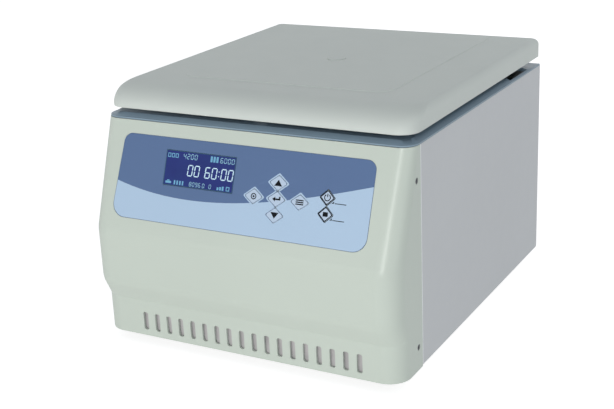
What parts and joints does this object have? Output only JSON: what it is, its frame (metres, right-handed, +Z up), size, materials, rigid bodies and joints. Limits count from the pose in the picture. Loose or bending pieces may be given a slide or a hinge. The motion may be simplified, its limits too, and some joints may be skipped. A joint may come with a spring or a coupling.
{
  "type": "benchtop centrifuge",
  "caption": "Benchtop centrifuge with a rear-hinged lid, sloped control face and a swing-out rotor that spins tubes in a steel bowl.",
  "frame": {"origin": "on the floor under the middle of the case, with the lid shut", "axes": "+X to the user's right, +Y from the control face to the back, +Z up"},
  "size_m": [0.43, 0.504, 0.3342],
  "materials": {
    "cream_moulding": "satin moulded, greenish cream",
    "lid_moulding": "satin moulded, pale grey",
    "painted_panel": "fine textured powder coat, grey",
    "deck_moulding": "matte blue grey",
    "overlay_film": "satin printed film, two blues",
    "display_glass": "clear gloss over a dark indigo display",
    "key_film": "satin film, pale blue",
    "stainless": "brushed",
    "steel": "plated",
    "zinc_sheet": "galvanised",
    "aluminium": "cast and turned",
    "black_rubber": "matte",
    "black_plastic": "satin",
    "circuit_board": "solder resist, green",
    "transformer_iron": "varnished"
  },
  "bodies": {
    "case": {"front_cover": "cream_moulding", "left_side_panel": "painted_panel", "right_side_panel": "painted_panel", "rear_panel": "painted_panel", "top_deck": "deck_moulding", "base_pan": "zinc_sheet", "control_overlay": "overlay_film", "display_window": "display_glass", "display_module": "black_plastic", "control_board": "circuit_board", "chamber_bowl": "stainless", "chamber_gasket": "black_rubber", "shaft_boot": "black_rubber", "motor_body": "aluminium", "bearing_lower": "steel", "bearing_upper": "steel", "motor_mount_1": "black_rubber", "motor_mount_2": "black_rubber", "motor_mount_3": "black_rubber", "transformer": "transformer_iron", "motor_drive": "aluminium", "hinge_bracket_left": "steel", "hinge_bracket_right": "steel", "hinge_rod": "steel", "latch_housing": "zinc_sheet", "fan_frame": "black_plastic", "fan_guard": "steel", "power_inlet": "black_plastic", "cover_screw_left_low": "steel", "cover_screw_left_high": "steel", "cover_screw_right_low": "steel", "cover_screw_right_high": "steel", "foot_front_left": "black_rubber", "foot_front_right": "black_rubber", "foot_rear_left": "black_rubber", "foot_rear_right": "black_rubber"},
    "lid": {"lid_shell": "lid_moulding", "lid_liner": "stainless", "port_window": "lid_moulding", "lid_hinge_left": "steel", "lid_hinge_right": "steel", "latch_striker": "steel"},
    "rotor": {"rotor_yoke": "aluminium", "rotor_nut": "black_plastic", "drive_shaft": "steel"},
    "swing_bucket_1": {"bucket_1": "aluminium"},
    "swing_bucket_2": {"bucket_2": "aluminium"},
    "swing_bucket_3": {"bucket_3": "aluminium"},
    "swing_bucket_4": {"bucket_4": "aluminium"},
    "lid_catch": {"latch_hook": "steel"},
    "fan_wheel": {"cooling_fan": "black_plastic"},
    "power_switch": {"power_rocker": "black_plastic"},
    "up_key": {"key_up": "key_film"},
    "down_key": {"key_down": "key_film"},
    "set_key": {"key_set": "key_film"},
    "enter_key": {"key_enter": "key_film"},
    "program_key": {"key_program": "key_film"},
    "start_key": {"key_start": "key_film"},
    "stop_key": {"key_stop": "key_film"}
  },
  "joints": [
    {"name": "lid_swing", "type": "hinge", "parent": "case", "child": "lid", "pos_m": [0, 0.2425, 0.304], "axis": [-1, 0, 0], "range_deg": [0, 72]},
    {"name": "rotor_spin", "type": "hinge", "parent": "case", "child": "rotor", "pos_m": [0, 0.0375, 0.24], "axis": [0, 0, 1], "continuous": true},
    {"name": "bucket_1_swing", "type": "hinge", "parent": "rotor", "child": "swing_bucket_1", "pos_m": [0.092, 0.0375, 0.24], "axis": [0, -1, 0], "range_deg": [0, 90]},
    {"name": "bucket_2_swing", "type": "hinge", "parent": "rotor", "child": "swing_bucket_2", "pos_m": [0, 0.1295, 0.24], "axis": [1, 0, 0], "range_deg": [0, 90]},
    {"name": "bucket_3_swing", "type": "hinge", "parent": "rotor", "child": "swing_bucket_3", "pos_m": [-0.092, 0.0375, 0.24], "axis": [0, 1, 0], "range_deg": [0, 90]},
    {"name": "bucket_4_swing", "type": "hinge", "parent": "rotor", "child": "swing_bucket_4", "pos_m": [0, -0.0545, 0.24], "axis": [-1, 0, 0], "range_deg": [0, 90]},
    {"name": "lid_catch_turn", "type": "hinge", "parent": "case", "child": "lid_catch", "pos_m": [0, -0.1595, 0.27095], "axis": [1, 0, 0], "range_deg": [0, 25]},
    {"name": "fan_spin", "type": "hinge", "parent": "case", "child": "fan_wheel", "pos_m": [0.13, 0.2315, 0.109], "axis": [0, 1, 0], "continuous": true},
    {"name": "power_rock", "type": "hinge", "parent": "case", "child": "power_switch", "pos_m": [-0.125, 0.2423, 0.1025], "axis": [-1, 0, 0], "range_deg": [0, 18]},
    {"name": "up_press", "type": "slide", "parent": "case", "child": "up_key", "axis": [0, 0.9315, -0.3638], "range_m": [0, 0.0004], "stiffness_N_per_m": 600},
    {"name": "down_press", "type": "slide", "parent": "case", "child": "down_key", "axis": [0, 0.9315, -0.3638], "range_m": [0, 0.0004], "stiffness_N_per_m": 600},
    {"name": "set_press", "type": "slide", "parent": "case", "child": "set_key", "axis": [0, 0.9315, -0.3638], "range_m": [0, 0.0004], "stiffness_N_per_m": 600},
    {"name": "enter_press", "type": "slide", "parent": "case", "child": "enter_key", "axis": [0, 0.9315, -0.3638], "range_m": [0, 0.0004], "stiffness_N_per_m": 600},
    {"name": "program_press", "type": "slide", "parent": "case", "child": "program_key", "axis": [0, 0.9315, -0.3638], "range_m": [0, 0.0004], "stiffness_N_per_m": 600},
    {"name": "start_press", "type": "slide", "parent": "case", "child": "start_key", "axis": [0, 0.9315, -0.3638], "range_m": [0, 0.0004], "stiffness_N_per_m": 600},
    {"name": "stop_press", "type": "slide", "parent": "case", "child": "stop_key", "axis": [0, 0.9315, -0.3638], "range_m": [0, 0.0004], "stiffness_N_per_m": 600}
  ]
}
